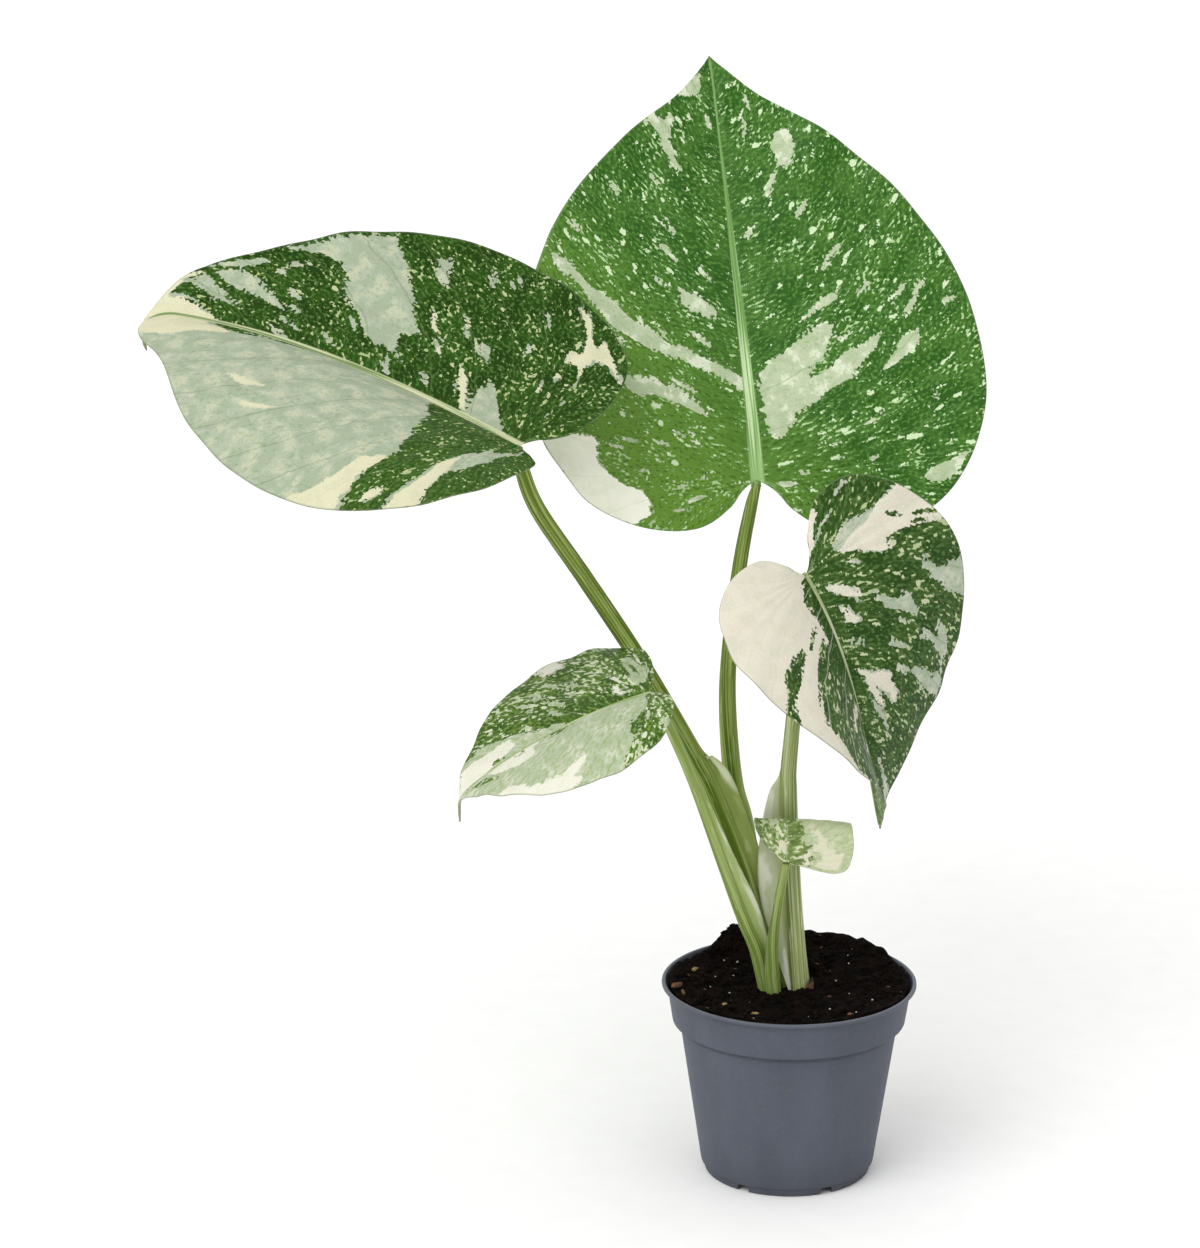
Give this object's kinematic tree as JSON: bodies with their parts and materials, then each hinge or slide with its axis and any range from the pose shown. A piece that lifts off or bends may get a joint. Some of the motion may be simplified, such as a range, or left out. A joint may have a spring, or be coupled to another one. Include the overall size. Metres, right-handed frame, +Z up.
{
  "type": "potted variegated monstera",
  "caption": "Young monstera with cream-variegated heart-shaped leaves on upright stalks, growing in soil in a tapered nursery pot with a banded collar.",
  "frame": {"origin": "centre of the pot's underside, on the surface that it stands on", "axes": "+Z up; -Y is the front, which the leaves face; +X is to the right seen from the front"},
  "size_m": [0.3976, 0.303, 0.5013],
  "materials": {
    "pot_plastic": "satin",
    "soil": "matte",
    "petiole": "satin",
    "leaf": "satin",
    "dry_sheath": "matte"
  },
  "bodies": {
    "root": {"pot": "pot_plastic", "soil": "soil", "petiole_left": "petiole", "petiole_back": "petiole", "petiole_right": "petiole", "petiole_small": "petiole", "petiole_young": "petiole", "leaf_blade_left": "leaf", "leaf_blade_back": "leaf", "leaf_blade_right": "leaf", "leaf_blade_small": "leaf", "leaf_blade_young": "leaf", "dry_sheath": "dry_sheath"}
  },
  "joints": []
}
